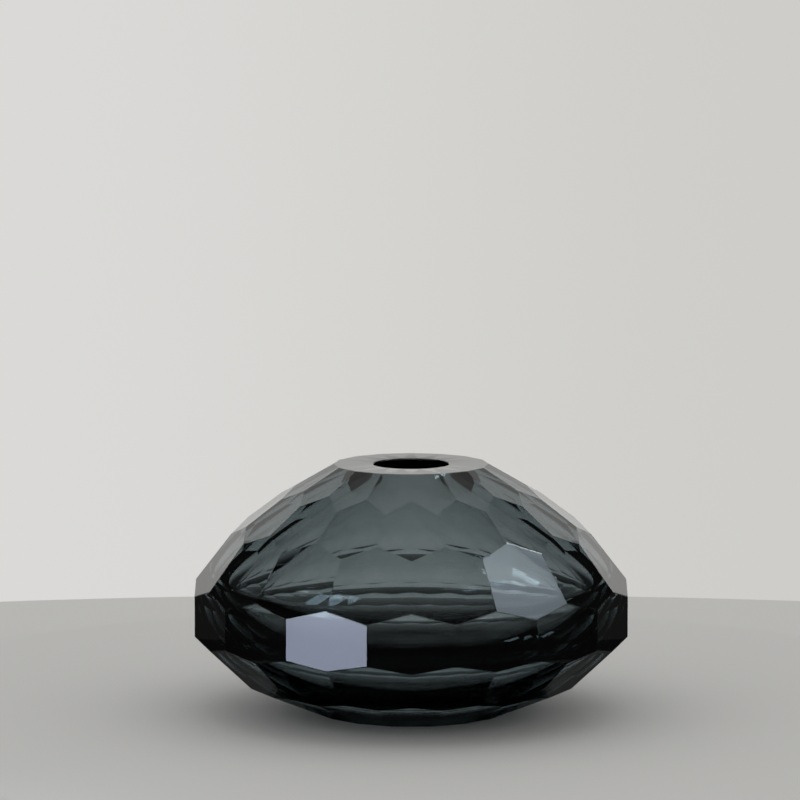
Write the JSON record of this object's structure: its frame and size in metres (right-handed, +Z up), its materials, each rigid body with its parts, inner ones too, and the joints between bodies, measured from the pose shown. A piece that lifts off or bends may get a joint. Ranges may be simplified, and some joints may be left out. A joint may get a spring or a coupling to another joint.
{
  "type": "cut crystal vase",
  "caption": "Squat thick-walled crystal vase, cut all over with interlocking flat facets, with a flat polished rim, a small round mouth and a smooth blown cavity.",
  "frame": {"origin": "on the vase's axis, at the flat base", "axes": "+Z up through the mouth, -Y out of the middle of a belt facet"},
  "size_m": [0.24, 0.24, 0.139],
  "materials": {
    "cut_crystal": "polished smoke-grey crystal, flat cut facets with crisp edges",
    "smoke_lining": "smooth fire-polished smoke-grey crystal"
  },
  "bodies": {
    "root": {"cut_body": "cut_crystal", "inner_lining": "smoke_lining"}
  },
  "joints": []
}
